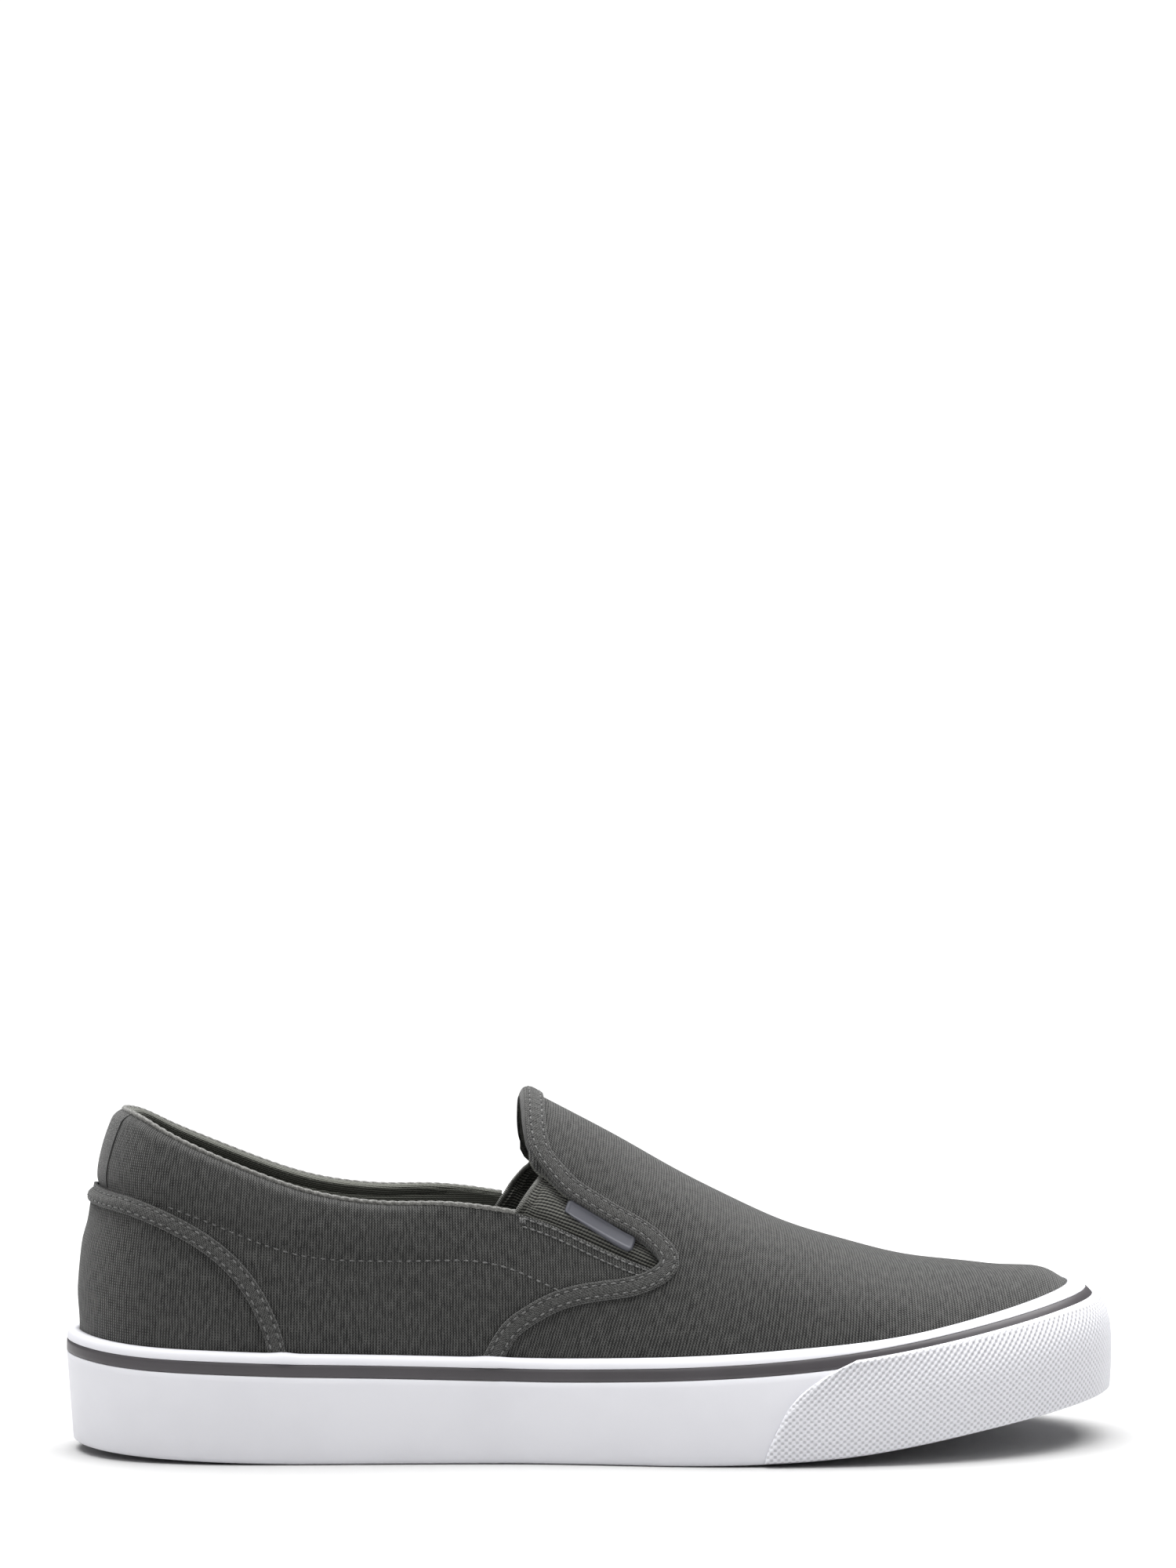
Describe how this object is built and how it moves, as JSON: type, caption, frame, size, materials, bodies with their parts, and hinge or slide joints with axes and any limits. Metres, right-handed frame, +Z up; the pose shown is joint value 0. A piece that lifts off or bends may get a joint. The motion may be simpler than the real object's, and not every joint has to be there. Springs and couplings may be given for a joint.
{
  "type": "slip-on sneaker",
  "caption": "Low canvas slip-on shoe with a padded collar, elastic side gores, a white rubber sole wall with a dark stripe and a textured toe bumper.",
  "frame": {"origin": "on the floor, under the middle of the shoe's bounding box", "axes": "+X to the toe, +Y to the inner side of the foot, +Z up"},
  "size_m": [0.2954, 0.1092, 0.0996],
  "materials": {
    "canvas": "matte woven canvas",
    "canvas_strip": "matte woven canvas, stitched",
    "gore": "ribbed elastic",
    "tab": "woven ribbon",
    "sock": "matte cloth over foam",
    "white_rubber": "satin rubber",
    "bumper_rubber": "finely textured rubber",
    "sole_rubber": "matte rubber",
    "stripe_rubber": "satin rubber"
  },
  "bodies": {
    "root": {"upper": "canvas", "vamp_strip": "canvas_strip", "counter_strip": "canvas_strip", "heel_tab": "canvas_strip", "gore_lateral": "gore", "gore_medial": "gore", "side_tab": "tab", "insole": "sock", "foxing": "white_rubber", "foxing_stripe": "stripe_rubber", "toe_bumper": "bumper_rubber", "outsole": "sole_rubber"}
  },
  "joints": []
}
